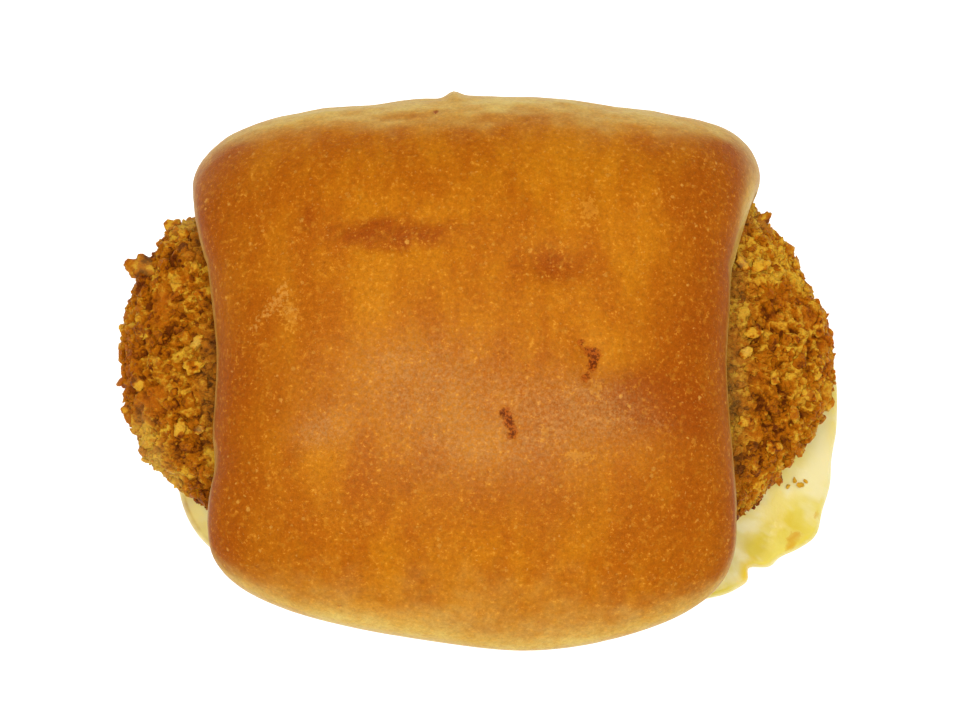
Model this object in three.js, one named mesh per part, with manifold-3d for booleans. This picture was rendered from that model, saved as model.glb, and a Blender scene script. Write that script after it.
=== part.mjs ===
// A croquette bun: a soft roll folded over a breaded oval croquette, which lies on a thin
// sheet of fried egg. Millimetres, +Z up. X runs along the croquette, whose two ends stick
// out of the sides of the roll. The fold of the roll is at the back (+Y), and its mouth is
// at the front (-Y). The parts are laid out round the middle of the croquette, and the whole
// is then moved so that the origin is the middle of the footprint, on the table.
import * as THREE from "three";
import { mergeVertices } from "three/addons/utils/BufferGeometryUtils.js";
import Module from "manifold-3d";

const wasm = await Module();
wasm.setup();

// ---- Driving dimensions, in mm ----------------------------------------------------------

// Layers over the middle of the table, from the bottom up.
const BASE_THICK = 12.5;
const EGG_THICK = 4.2;
const CROQUETTE_THICK = 19.6;
const LID_THICK = 14.4;
const GAP = 0.35; // air left between two pieces that touch
const FOOTPRINT_MIDDLE = { x: 0.89, y: -0.42 };

const EGG_BOTTOM = BASE_THICK + GAP;
const CROQUETTE_BOTTOM = EGG_BOTTOM + EGG_THICK + GAP;
const CROQUETTE_TOP = CROQUETTE_BOTTOM + CROQUETTE_THICK;
const LID_BOTTOM = CROQUETTE_TOP + 2 * GAP;
const LID_TOP = LID_BOTTOM + LID_THICK;

// The roll, seen from above and from its side.
const FOLD_START = 14; // y where lid and base run into the fold
const FOLD_BACK = 41.4; // y of the outside of the fold
const FOLD_INSIDE = 34.9; // y of the inside of the fold
const FOLD_HALF_WIDTH = 42.4;
const FOLD_SHIFT = 0.2; // x of the middle of the fold
const FOLD_BOW = 8; // how far the fold's ends lie in front of its middle
const FOLD_BOW_EXPONENT = 4;
const RIM_SHARE = 0.25; // height of the roll's widest line between its inner and outer skin

const LID = {
  tip: -41.8, // y of the lid's free edge
  rimDrop: 6.6, // how far the free edge hangs below the widest line further back
  noseOuter: 34, // how far back from the free edge the top still rises
  noseInner: 9,
  noseExponent: 2.3,
  waist: 37.3, // half width at the waist
  waistY: -1,
  backFlare: 1.7, // how much wider it is where the fold starts
  frontFlare: 1.2, // how much wider it is at its front corners
  cornerY: -23.5, // y where the front corners start to round off
  crown: 2.3, // how far the sides of the lid sag below its middle
  shift: -0.7, // the lid sits a little to the left of the fold
  tipShift: 6, // and the middle of its free edge lies to the right
};
const BASE = {
  tip: -37.6,
  rimDrop: 1.4,
  noseOuter: 13,
  noseInner: 8,
  noseExponent: 2.2,
  waist: 37.4,
  cornerY: -17,
  backFlare: 1.2,
  flatten: 0.8, // the round underside is pressed flat up to this height
};
const SECTION_EXPONENT = { base: 4, fold: 3, lid: 2.7, inner: 6 };
const LUMP = 0.45; // soft unevenness of the crust

// Where the outline of the roll swells out or pulls in, in degrees round it, as shares of its
// size. Its middle keeps its form.
const ROLL_SWELLS = [
  { at: 41.5, share: 0.036, half: 7.5 },
  { at: 61, share: -0.014, half: 9 },
  { at: 23, share: -0.03, half: 8 },
  { at: 98, share: -0.007, half: 5 },
  { at: 112, share: -0.023, half: 9 },
  { at: 138, share: 0.014, half: 9 },
  { at: -157.5, share: -0.022, half: 4 },
  { at: -77, share: 0.016, half: 18 },
];
const SWELLS_FROM = 22; // distance from the middle where the swells begin
const SWELLS_FULL = 36;

// Shallow dents in the crust of the lid: middle, half lengths and depth.
const DENTS = [
  { x: -11, y: 16, halfX: 9, halfY: 2.6, depth: 0.35 },
  { x: 11.3, y: 11.5, halfX: 4.5, halfY: 2.8, depth: 0.4 },
  { x: -27, y: 5, halfX: 3, halfY: 6, depth: 0.3 },
  { x: 16, y: -2, halfX: 2, halfY: 3.2, depth: 0.5 },
];

const CROQUETTE = {
  halfLength: 53.6,
  halfDepth: 31.6,
  middleY: 2.3,
  planExponent: 2.25, // between an ellipse and a rounded rectangle
  rimExponent: 3.2, // how flat the top and the bottom are
  faceExponent: 2.2,
  crag: 1.3, // height of the small crags of the crust, where it shows
  // Where the outline swells out or pulls in, in degrees round the croquette, as shares of
  // its size.
  swells: [
    { at: 146, share: 0.018, half: 8 },
    { at: 167, share: -0.006, half: 4 },
    { at: -155, share: 0.014, half: 4.5 },
    { at: 43, share: 0.03, half: 4 },
    { at: 19, share: -0.026, half: 10 },
    { at: -27, share: -0.018, half: 8 },
    { at: -50, share: 0.017, half: 7.5 },
  ],
};
const FLAKE = {
  seed: 7,
  count: 228, // flakes tried; those that would touch roll or egg are skipped
  length: [2.5, 4.3],
  slimness: [0.55, 0.95], // width over length
  flatness: [0.3, 0.5], // thickness over length
  sunk: 0.3, // share of the thickness below the crust
  tilt: 0.35, // most lean away from lying flat, in radians
  showsBeyondX: 35, // the ends of the croquette show past the sides of the roll
  showsBeforeY: -24, // and its front rim shows in the mouth
};
// Three thick crumbs that stand out of the outline: angle round the croquette, height above
// its rim (both as angles) and length.
const BIG_FLAKES = [
  { angle: 2.775, rise: 0.12, length: 4.4 },
  { angle: 2.53, rise: 0.3, length: 4.3 },
  { angle: -0.9, rise: 0.2, length: 3.4 },
];
const BIG_FLAKE_FLATNESS = [0.8, 0.9];

const EGG = {
  halfLength: 51.4,
  frontDepth: 32.8, // from its middle to its front edge
  backDepth: 27.5,
  middleX: 4.3,
  middleY: -3.8,
  planExponent: 2.6,
  ragged: 0.8, // unevenness of the outline
  ripple: 0.7, // waves of the free ends
  droop: 2.6, // how far the free ends hang down
  heldHalfLength: 36, // the roll holds the sheet flat this far from its middle
  creaseX: 43.5,
  creaseDepth: 0.45,
  // Two lobes and a notch at the front right, in degrees round the sheet, as shares of its size.
  lobes: [
    { at: -29, share: 0.026, half: 5.5 },
    { at: -39, share: -0.012, half: 3 },
    { at: -45.8, share: -0.044, half: 2.3 },
    { at: -55, share: 0.01, half: 4 },
    { at: -8, share: -0.012, half: 5 },
  ],
};

// ---- Small helpers ----------------------------------------------------------------------

const clamp01 = (v) => Math.min(1, Math.max(0, v));
const smooth = (v) => clamp01(v) ** 2 * (3 - 2 * clamp01(v));
const signedPower = (v, e) => Math.sign(v) * Math.abs(v) ** e;
const mix = (a, b, t) => a + (b - a) * t;

// Height of a superellipse of unit size at u: 1 in the middle, 0 at u = 1.
const arch = (u, exponent) => (1 - Math.min(1, Math.abs(u)) ** exponent) ** (1 / exponent);

// Smooth unevenness between about -1 and 1, with bumps about `size` mm across.
function lumps(x, y, z, size, phase) {
  const k = (2 * Math.PI) / size;
  const a = Math.sin(k * (0.83 * x + 0.37 * y) + phase);
  const b = Math.sin(k * (0.61 * y - 0.52 * x + 0.4 * z) + 1.7 * phase + 1);
  const c = Math.sin(k * (0.45 * z + 0.71 * x - 0.33 * y) - 0.6 * phase + 2);
  return (a + b + c + a * b * c) / 3.2;
}

// The sum of soft bumps of an outline at an angle in radians.
function outlineBumps(bumps, angle) {
  let sum = 0;
  for (const { at, share, half } of bumps) {
    const away = THREE.MathUtils.radToDeg(angle) - at;
    const nearest = away - 360 * Math.round(away / 360);
    sum += share * Math.exp(-((nearest / half) ** 2));
  }
  return sum;
}

// A repeatable source of random numbers from 0 to 1.
function randomSource(seed) {
  let state = seed;
  return () => {
    state = (state + 0x6d2b79f5) | 0;
    let t = Math.imul(state ^ (state >>> 15), 1 | state);
    t = (t + Math.imul(t ^ (t >>> 7), 61 | t)) ^ t;
    return ((t ^ (t >>> 14)) >>> 0) / 4294967296;
  };
}

// A closed skin over rings of points, with one point closing each end. rings[i][k] is a
// Vector3, and each ring runs anticlockwise as seen from the last ring.
function ringSolid(first, rings, last) {
  const across = rings[0].length;
  const points = [first, ...rings.flat(), last];
  const at = (i, k) => 1 + i * across + (k % across);
  const end = points.length - 1;
  const faces = [];
  for (let k = 0; k < across; k++) {
    faces.push(0, at(0, k + 1), at(0, k));
    for (let i = 0; i + 1 < rings.length; i++) {
      faces.push(at(i, k), at(i, k + 1), at(i + 1, k));
      faces.push(at(i, k + 1), at(i + 1, k + 1), at(i + 1, k));
    }
    faces.push(at(rings.length - 1, k), at(rings.length - 1, k + 1), end);
  }
  const geometry = new THREE.BufferGeometry().setFromPoints(points);
  geometry.setIndex(faces);
  return geometry;
}

// The geometry with positions only, and its shared vertices merged.
function bareGeometry(geometry) {
  const bare = geometry.clone();
  bare.deleteAttribute("normal");
  bare.deleteAttribute("uv");
  return mergeVertices(bare, 1e-4);
}

// three.js geometry to a manifold-3d solid, and back.
function toSolid(geometry) {
  const merged = bareGeometry(geometry);
  return new wasm.Manifold(
    new wasm.Mesh({
      numProp: 3,
      vertProperties: merged.getAttribute("position").array,
      triVerts: new Uint32Array(merged.index.array),
    }),
  );
}
function toGeometry(solid) {
  const mesh = solid.getMesh();
  const geometry = new THREE.BufferGeometry();
  geometry.setAttribute("position", new THREE.BufferAttribute(mesh.vertProperties, 3));
  geometry.setIndex(new THREE.BufferAttribute(mesh.triVerts, 1));
  geometry.computeVertexNormals();
  return geometry;
}

// ---- The roll ---------------------------------------------------------------------------

// Half width of lid and base at y, before their front corners are rounded off.
function lidHalfWidth(y) {
  const back = clamp01((y - LID.waistY) / (FOLD_START - LID.waistY)) ** 1.6;
  const front = smooth((LID.waistY - y) / (LID.waistY - LID.cornerY));
  return LID.waist + LID.backFlare * back + LID.frontFlare * front;
}
function baseHalfWidth(y) {
  return BASE.waist + BASE.backFlare * smooth((y + 10) / (FOLD_START + 10));
}

// Rounds the front corners off: 1 behind cornerY, 0 at the tip.
function cornerRounding(y, run) {
  const u = clamp01((run.cornerY - y) / (run.cornerY - run.tip));
  return (1 - u ** 3) ** (1 / 1.6);
}

// The section of lid or base at distance d behind its tip: the inner and outer skin and the
// widest line between them, as [y, z].
function runSection(run, d, innerZ, outerZ) {
  const y = run.tip + d;
  const length = FOLD_START - run.tip;
  const rimZ = mix(innerZ, outerZ, RIM_SHARE) - run.rimDrop * (1 - d / length) ** 3;
  const innerDepth = -RIM_SHARE * (outerZ - innerZ);
  const outerDepth = (1 - RIM_SHARE) * (outerZ - innerZ);
  const rise = (reach, exponent) => arch(1 - Math.min(d / reach, 1), exponent);
  return {
    rim: [y, rimZ],
    inner: [y, rimZ + innerDepth * rise(run.noseInner, 2)],
    outer: [y, rimZ + outerDepth * rise(run.noseOuter, run.noseExponent)],
  };
}

// One section of the roll. t runs from 0 at the tip of the base, round the fold at 0.5, to
// 1 at the tip of the lid.
const BASE_END = 0.36;
const FOLD_END = 0.62;
function rollSection(t) {
  if (t < BASE_END) {
    const share = 1 - Math.cos((t / BASE_END) * (Math.PI / 2));
    const section = runSection(BASE, share * (FOLD_START - BASE.tip), BASE_THICK, 0);
    const y = section.rim[0];
    section.halfWidth = baseHalfWidth(y) * cornerRounding(y, BASE);
    section.exponent = SECTION_EXPONENT.base;
    return { ...section, bow: 0, lid: 0, shift: 0 };
  }
  if (t > FOLD_END) {
    const share = 1 - Math.cos(((1 - t) / (1 - FOLD_END)) * (Math.PI / 2));
    const section = runSection(LID, share * (FOLD_START - LID.tip), LID_BOTTOM, LID_TOP);
    const y = section.rim[0];
    section.halfWidth = lidHalfWidth(y) * cornerRounding(y, LID);
    section.exponent = SECTION_EXPONENT.lid;
    const toTip = clamp01((LID.cornerY - y) / (LID.cornerY - LID.tip));
    return { ...section, bow: 0, lid: 1, shift: mix(LID.shift, LID.tipShift, toTip ** 3) };
  }
  const turn = mix(-Math.PI / 2, Math.PI / 2, (t - BASE_END) / (FOLD_END - BASE_END));
  const [c, s] = [Math.max(0, Math.cos(turn)), Math.sin(turn)];
  const roundness = s < 0 ? 2.8 : 2.4;
  const insideRoundness = s < 0 ? 1.9 : 2.4;
  const outer = [
    FOLD_START + (FOLD_BACK - FOLD_START) * c ** (2 / roundness),
    (LID_TOP / 2) * (1 + signedPower(s, 2 / roundness)),
  ];
  const innerHalf = (LID_BOTTOM - BASE_THICK) / 2;
  const inner = [
    FOLD_START + (FOLD_INSIDE - FOLD_START) * c ** (2 / insideRoundness),
    BASE_THICK + innerHalf * (1 + signedPower(s, 2 / insideRoundness)),
  ];
  const lid = smooth((s + 1) / 2);
  const ends = s < 0 ? baseHalfWidth(FOLD_START) : lidHalfWidth(FOLD_START);
  return {
    inner,
    outer,
    rim: [mix(inner[0], outer[0], RIM_SHARE), mix(inner[1], outer[1], RIM_SHARE)],
    halfWidth: mix(ends, FOLD_HALF_WIDTH, c ** 0.6),
    exponent: s < 0
      ? mix(SECTION_EXPONENT.fold, SECTION_EXPONENT.base, s * s)
      : mix(SECTION_EXPONENT.fold, SECTION_EXPONENT.lid, s * s),
    bow: FOLD_BOW * c,
    lid,
    shift: mix(FOLD_SHIFT, LID.shift * lid, Math.abs(s)),
  };
}

// A point of the roll's skin: across runs from -1 at the left rim to 1 at the right rim, and
// side is 1 on the outer skin and -1 on the inner skin.
function rollPoint(section, across, side) {
  const outside = side > 0;
  const skin = outside ? section.outer : section.inner;
  const height = arch(across, outside ? section.exponent : SECTION_EXPONENT.inner);
  const x = section.halfWidth * across + section.shift;
  let y = mix(section.rim[0], skin[0], height) - section.bow * Math.abs(across) ** FOLD_BOW_EXPONENT;
  let z = mix(section.rim[1], skin[1], height);
  z -= LID.crown * section.lid * Math.abs(x / FOLD_HALF_WIDTH) ** 2.5;
  // The swells move the outer skin and the rims, and leave the inner skin as it is.
  const moved = outside ? 1 : 1 - height * smooth((y + 30) / 10);
  if (!outside) return swollen(x, y, z, moved);

  const bump = LUMP * height * lumps(x, y, z, 34, 0.4);
  const outward = new THREE.Vector2(skin[0] - section.rim[0], skin[1] - section.rim[1]);
  if (outward.length() > 1) outward.normalize();
  y += bump * outward.x;
  z += bump * outward.y;
  if (section.lid === 1) {
    for (const dent of DENTS) {
      const r2 = ((x - dent.x) / dent.halfX) ** 2 + ((y - dent.y) / dent.halfY) ** 2;
      z -= dent.depth * Math.exp(-r2);
    }
  }
  z = Math.max(0, z - BASE.flatten * (1 - section.lid));
  return swollen(x, y, z, moved);
}

// A point moved out or in by a share of the swells of the roll's outline.
function swollen(x, y, z, share) {
  const outer = smooth((Math.hypot(x, y) - SWELLS_FROM) / (SWELLS_FULL - SWELLS_FROM));
  const size = 1 + share * outer * outlineBumps(ROLL_SWELLS, Math.atan2(y, x));
  return new THREE.Vector3(x * size, y * size, z);
}

function rollGeometry() {
  const stations = 46;
  const columns = 18;
  const acrossAt = (j) => Math.sin(mix(-Math.PI / 2, Math.PI / 2, j / columns));
  const tipOf = (t) => {
    const section = rollSection(t);
    return new THREE.Vector3(section.shift, ...section.rim);
  };
  const rings = [];
  for (let i = 1; i < stations; i++) {
    const section = rollSection(i / stations);
    const ring = [];
    for (let j = columns; j >= 0; j--) ring.push(rollPoint(section, acrossAt(j), 1));
    for (let j = 1; j < columns; j++) ring.push(rollPoint(section, acrossAt(j), -1));
    rings.push(ring);
  }
  return ringSolid(tipOf(0), rings, tipOf(1));
}

// ---- The croquette ----------------------------------------------------------------------

const CROQUETTE_MIDDLE_Z = (CROQUETTE_BOTTOM + CROQUETTE_TOP) / 2;

// How much a point of the croquette shows: 1 on its ends and its front rim, 0 inside.
function showing(x, y) {
  const ends = smooth((Math.abs(x) - FLAKE.showsBeyondX) / 3);
  const front = smooth((FLAKE.showsBeforeY - y) / 3);
  return Math.max(ends, front);
}

// A point of the crust. angle goes round the croquette, and rise from the middle of the
// bottom (-90 degrees), by the rim (0), to the middle of the top (90 degrees).
function croquettePoint(angle, rise) {
  const plan = 2 / CROQUETTE.planExponent;
  const swell = 1 + outlineBumps(CROQUETTE.swells, angle);
  const radius = swell * Math.abs(Math.cos(rise)) ** (2 / CROQUETTE.rimExponent);
  const x = CROQUETTE.halfLength * radius * signedPower(Math.cos(angle), plan);
  const y = CROQUETTE.middleY + CROQUETTE.halfDepth * radius * signedPower(Math.sin(angle), plan);
  const up = signedPower(Math.sin(rise), 2 / CROQUETTE.faceExponent);
  const z = CROQUETTE_MIDDLE_Z + (CROQUETTE_THICK / 2) * up;
  return new THREE.Vector3(x, y, z);
}

// The body of the croquette. Where it shows, its points are close together, and each one is
// moved in or out by chance, which gives the crust its crags.
function croquetteCore(random) {
  const around = 72;
  const levels = 22;
  const rings = [];
  for (let i = 1; i < levels; i++) {
    const rise = mix(-Math.PI / 2, Math.PI / 2, i / levels);
    const ring = [];
    for (let k = 0; k < around; k++) {
      const even = (2 * Math.PI * (k + (i % 2) / 2)) / around;
      const point = croquettePoint(even - 0.35 * Math.sin(2 * even), rise);
      const outward = point.clone().sub(new THREE.Vector3(0, CROQUETTE.middleY, CROQUETTE_MIDDLE_Z));
      outward.z *= 4;
      const crag = CROQUETTE.crag * showing(point.x, point.y) * (random() - 0.5);
      ring.push(point.addScaledVector(outward.normalize(), crag));
    }
    rings.push(ring);
  }
  return ringSolid(croquettePoint(0, -Math.PI / 2), rings, croquettePoint(0, Math.PI / 2));
}

// One flake of fried crumb, with its middle at the origin and its flat side up: a dented
// lump of 20 faces.
function flakeGeometry(random, length, flatness) {
  const width = length * mix(...FLAKE.slimness, random());
  const thick = length * mix(...flatness, random());
  const flake = bareGeometry(new THREE.IcosahedronGeometry(0.5, 0));
  const position = flake.getAttribute("position");
  for (let i = 0; i < position.count; i++) {
    const swell = mix(0.7, 1.3, random());
    position.setXYZ(
      i,
      position.getX(i) * length * swell,
      position.getY(i) * width * swell,
      position.getZ(i) * thick * swell,
    );
  }
  return { geometry: flake, thick };
}

// A flake laid on the crust at angle and rise, sunk into it a little and tilted at random.
function placedFlake(random, angle, rise, length, flatness) {
  const { geometry, thick } = flakeGeometry(random, length, flatness);
  const step = 0.02;
  const here = croquettePoint(angle, rise);
  const sideways = croquettePoint(angle + step, rise).sub(here);
  const upward = croquettePoint(angle, rise + step).sub(here);
  const outward = sideways.cross(upward).normalize();
  const lean = new THREE.Vector3(random() - 0.5, random() - 0.5, random() - 0.5);
  const axis = outward.clone().addScaledVector(lean, 2 * FLAKE.tilt).normalize();
  const lie = new THREE.Quaternion().setFromUnitVectors(new THREE.Vector3(0, 0, 1), axis);
  const spin = new THREE.Quaternion().setFromAxisAngle(axis, random() * 2 * Math.PI);
  const place = here.addScaledVector(outward, thick * (0.5 - FLAKE.sunk));
  const one = new THREE.Vector3(1, 1, 1);
  return geometry.applyMatrix4(new THREE.Matrix4().compose(place, spin.multiply(lie), one));
}

// True if the flake, grown a little round its own middle, would reach into a neighbour.
function touches(flake, neighbours) {
  flake.computeBoundingSphere();
  const middle = flake.boundingSphere.center.clone();
  const grown = flake.clone().translate(-middle.x, -middle.y, -middle.z);
  grown.scale(1.35, 1.35, 1.35).translate(middle.x, middle.y, middle.z);
  const solid = toSolid(grown);
  return neighbours.some((other) => !solid.intersect(other).isEmpty());
}

function croquetteGeometry(neighbours) {
  const random = randomSource(FLAKE.seed);
  const pieces = [toSolid(croquetteCore(random))];
  const lay = (flake) => {
    if (!touches(flake, neighbours)) pieces.push(toSolid(flake));
  };
  for (const { angle, rise, length } of BIG_FLAKES) {
    lay(placedFlake(random, angle, rise, length, BIG_FLAKE_FLATNESS));
  }
  for (let i = 0; i < FLAKE.count; i++) {
    const angle = 2 * Math.PI * random();
    const rise = Math.asin(2 * random() - 1);
    const length = mix(...FLAKE.length, random());
    const flake = placedFlake(random, angle, rise, length, FLAKE.flatness);
    const here = croquettePoint(angle, rise);
    if (showing(here.x, here.y) > 0.3) lay(flake);
  }
  // The largest body leaves out loose scraps and any hollow that the flakes seal.
  const bodies = wasm.Manifold.union(pieces).decompose();
  return toGeometry(bodies.reduce((a, b) => (b.volume() > a.volume() ? b : a)));
}

// ---- The egg sheet ----------------------------------------------------------------------

// Height of the middle of the sheet: flat where the roll holds it, turned up along the inside
// of the fold, and hanging and rippled where it sticks out.
function eggMiddleZ(x, y) {
  const free = clamp01((Math.abs(x) - EGG.heldHalfLength) / 18);
  const sag = EGG.droop * free ** 1.5;
  const ripple = EGG.ripple * smooth(free * 1.6) * lumps(x, y, 0, 17, 0.9);
  const back = clamp01((y + 2 - FOLD_START) / (FOLD_INSIDE - FOLD_START));
  const lift = ((LID_BOTTOM - BASE_THICK) / 2) * (1 - arch(back, 1.9));
  const crease = EGG.creaseDepth * Math.exp(-(((x - EGG.creaseX + 0.12 * y) / 1.3) ** 2));
  return EGG_BOTTOM + EGG_THICK / 2 + lift - sag + ripple - crease * smooth(free * 3);
}

// A point of the sheet at share 0 (middle) to 1 (edge) of its outline, on its top (side 1),
// its bottom (-1) or its edge (0).
function eggPoint(angle, share, side) {
  const plan = 2 / EGG.planExponent;
  const bump = lumps(9 * Math.cos(angle), 9 * Math.sin(angle), 0, 5.5, 3);
  const ragged = 1 + (EGG.ragged / EGG.frontDepth) * bump + outlineBumps(EGG.lobes, angle);
  const depth = Math.sin(angle) < 0 ? EGG.frontDepth : EGG.backDepth;
  const x = EGG.middleX + EGG.halfLength * share * ragged * signedPower(Math.cos(angle), plan);
  const y = EGG.middleY + depth * share * ragged * signedPower(Math.sin(angle), plan);
  const thin = mix(1, 0.72, share ** 6);
  return new THREE.Vector3(x, y, eggMiddleZ(x, y) + (side * thin * EGG_THICK) / 2);
}

function eggGeometry() {
  const around = 62;
  const notch = -0.7; // radians round the sheet; the points lie closest together there
  const shares = [0.3, 0.6, 0.8, 0.9, 0.965];
  const ringAt = (share, side) =>
    Array.from({ length: around }, (_, k) => {
      const even = (2 * Math.PI * k) / around;
      return eggPoint(notch + even - 0.5 * Math.sin(even), share, side);
    });
  const rings = [
    ...shares.map((share) => ringAt(share, -1)),
    ringAt(1, 0),
    ...shares.toReversed().map((share) => ringAt(share, 1)),
  ];
  return ringSolid(eggPoint(0, 0, -1), rings, eggPoint(0, 0, 1));
}

// ---- Materials and the group ------------------------------------------------------------

const crust = new THREE.MeshStandardMaterial({ color: 0xc26d1a, roughness: 0.5, metalness: 0 });
const crumb = new THREE.MeshStandardMaterial({ color: 0xa36418, roughness: 0.75, metalness: 0 });
const egg = new THREE.MeshStandardMaterial({ color: 0xe6cf63, roughness: 0.4, metalness: 0 });

function namedMesh(name, geometry, material) {
  geometry.computeVertexNormals();
  const mesh = new THREE.Mesh(geometry, material);
  mesh.name = name;
  return mesh;
}

const roll = rollGeometry();
const eggSheet = eggGeometry();
const croquette = croquetteGeometry([toSolid(roll), toSolid(eggSheet)]);

const bun = new THREE.Group();
bun.add(namedMesh("roll", roll, crust));
bun.add(namedMesh("egg_sheet", eggSheet, egg));
bun.add(namedMesh("croquette", croquette, crumb));
bun.position.set(-FOOTPRINT_MIDDLE.x, -FOOTPRINT_MIDDLE.y, 0);

export default bun;
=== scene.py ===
# %% [markdown]
# # A croquette bun
# A soft roll is folded over a breaded oval croquette, which lies on a thin sheet of fried
# egg. Three materials have to look right here: a baked crust that runs from deep orange
# to cream, coarse fried breadcrumbs, and moist egg. Each piece is made in the same frame
# as the solid model, so nothing has to be fitted by eye.

import math
import random
from types import SimpleNamespace

import bmesh
import bpy
import numpy as np
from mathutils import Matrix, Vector, noise


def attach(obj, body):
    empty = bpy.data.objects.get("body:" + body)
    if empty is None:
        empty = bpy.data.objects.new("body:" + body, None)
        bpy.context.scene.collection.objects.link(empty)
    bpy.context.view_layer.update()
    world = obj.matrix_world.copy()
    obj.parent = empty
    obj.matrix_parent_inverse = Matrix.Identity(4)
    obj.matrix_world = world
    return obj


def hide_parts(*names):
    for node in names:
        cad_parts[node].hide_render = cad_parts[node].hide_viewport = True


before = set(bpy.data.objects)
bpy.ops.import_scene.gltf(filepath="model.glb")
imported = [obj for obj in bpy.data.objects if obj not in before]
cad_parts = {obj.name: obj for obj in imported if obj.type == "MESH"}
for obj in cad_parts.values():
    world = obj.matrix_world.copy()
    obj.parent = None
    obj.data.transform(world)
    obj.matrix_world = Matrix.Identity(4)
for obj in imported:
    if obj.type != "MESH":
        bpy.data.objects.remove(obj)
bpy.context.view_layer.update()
MM = 0.001
print("nodes:", sorted(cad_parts))

# %% [markdown]
# ## Camera and light
# The bun is seen from almost straight above, leaning 10 degrees towards the mouth, so the
# camera is placed by an elevation and a distance. A long lens keeps the perspective weak,
# as in a product picture. The light is a white room, which fills every shadow, and one
# broad lamp overhead, whose reflection, together with glare painted into the crust's colour,
# makes the soft pale patch in the middle of the crust.

# %% Small helpers for objects and node trees
def new_object(name, data):
    made = bpy.data.objects.new(name, data)
    bpy.context.collection.objects.link(made)
    return made


def set_inputs(node, inputs):
    """Gives inputs of a node values or links. Another node stands for its first output."""
    for name, value in inputs.items():
        if isinstance(value, bpy.types.Node):
            value = value.outputs[0]
        if isinstance(value, bpy.types.NodeSocket):
            node.id_data.links.new(value, node.inputs[name])
        else:
            node.inputs[name].default_value = value


def add_node(tree, kind, inputs=None, **settings):
    """A new node, with its settings and inputs set."""
    made = tree.nodes.new(kind)
    for name, value in settings.items():
        setattr(made, name, value)
    set_inputs(made, inputs or {})
    return made


# %% Camera
CAMERA_TARGET = Vector((-0.39, 2.42, 28)) * MM
CAMERA_ELEVATION = math.radians(80)
CAMERA_DISTANCE = 480 * MM
LENS = 120

camera_data = bpy.data.cameras.new("camera")
camera_data.lens = LENS
camera_data.sensor_width = 36
camera_data.clip_start = 0.01
camera = new_object("camera", camera_data)
to_camera = Vector((0, -math.cos(CAMERA_ELEVATION), math.sin(CAMERA_ELEVATION)))
camera.location = CAMERA_TARGET + CAMERA_DISTANCE * to_camera
camera.rotation_euler = to_camera.to_track_quat("Z", "Y").to_euler()
bpy.context.scene.camera = camera
print("camera at", [round(v, 3) for v in camera.location])

# %% Room and lamp
ROOM_LIGHT = 0.56
LAMP_PLACE, LAMP_AIM = Vector((0, -90, 620)) * MM, Vector((0, 0, 30)) * MM
scene = bpy.context.scene
scene.view_settings.view_transform = "Standard"

room = bpy.data.worlds.new("white_room")
room.use_nodes = True
set_inputs(room.node_tree.nodes["Background"], {"Color": (1, 1, 1, 1), "Strength": ROOM_LIGHT})
scene.world = room

lamp_data = bpy.data.lights.new("overhead_lamp", "AREA")
lamp_data.shape = "RECTANGLE"
lamp_data.size, lamp_data.size_y = 330 * MM, 120 * MM
lamp_data.energy = 4.2
lamp = new_object("overhead_lamp", lamp_data)
lamp.location = LAMP_PLACE
lamp.rotation_euler = (LAMP_AIM - LAMP_PLACE).to_track_quat("-Z", "Y").to_euler()
print("world and lamp made")

# %% Floor
FLOOR_HALF = 1.5
floor_mesh = bpy.data.meshes.new("floor")
floor_points = [(-1, -1, 0), (1, -1, 0), (1, 1, 0), (-1, 1, 0)]
floor_mesh.from_pydata((np.array(floor_points) * FLOOR_HALF).tolist(), [], [(0, 1, 2, 3)])
floor = new_object("floor", floor_mesh)
floor_paint = bpy.data.materials.new("white_paper")
floor_paint.use_nodes = True
set_inputs(floor_paint.node_tree.nodes["Principled BSDF"], {
    "Base Color": (0.93, 0.93, 0.93, 1), "Roughness": 0.8,
    "Emission Color": (1, 1, 1, 1), "Emission Strength": 0.35})  # as on a light table
floor_mesh.materials.append(floor_paint)

# %% [markdown]
# ## The form of the roll
# The roll is one piece of dough: a thin base, a fold at the back and a thick lid. It could
# be modelled by hand and subdivided, but its form follows a rule. A flat oval section is
# swept along a path that starts at the front edge of the base, turns round the fold, and
# ends at the front edge of the lid. Each section has an outer and an inner skin, and
# between them the line where the roll is widest. The numbers below are the real sizes, in
# millimetres, and the same rule made the solid model.

# %% Sizes of the roll
OFFSET = np.array((-0.89, 0.42, 0))  # from the middle of the croquette to the frame's origin
BASE_THICK = 12.5
LID_BOTTOM = 37.7
LID_TOP = 52.1
FOLD = SimpleNamespace(start=14, back=41.4, inside=34.9, half_width=42.4, shift=0.2, bow=8, bow_exponent=4)
LID = SimpleNamespace(
    tip=-41.8, rim_drop=6.6, nose_outer=34, nose_inner=9, nose_exponent=2.3, waist=37.3, waist_y=-1,
    back_flare=1.7, front_flare=1.2, corner_y=-23.5, crown=2.3, shift=-0.7, tip_shift=6)
BASE = SimpleNamespace(
    tip=-37.6, rim_drop=1.4, nose_outer=13, nose_inner=8, nose_exponent=2.2, waist=37.4, corner_y=-17,
    back_flare=1.2, flatten=0.8)
RIM_SHARE = 0.25
EXPONENT = SimpleNamespace(base=4, fold=3, lid=2.7, inner=6)  # how square each section is


def arch(u, exponent):
    """Height of a superellipse of unit size at u."""
    return (1 - np.minimum(1, np.abs(u)) ** exponent) ** (1 / exponent)


def signed_power(v, exponent):
    return np.sign(v) * np.abs(v) ** exponent


def unit(v):
    """Keeps a value between 0 and 1."""
    return np.clip(v, 0, 1)


def smooth(v):
    v = unit(v)
    return v * v * (3 - 2 * v)


def mix(a, b, t):
    return a + (b - a) * t


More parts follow.
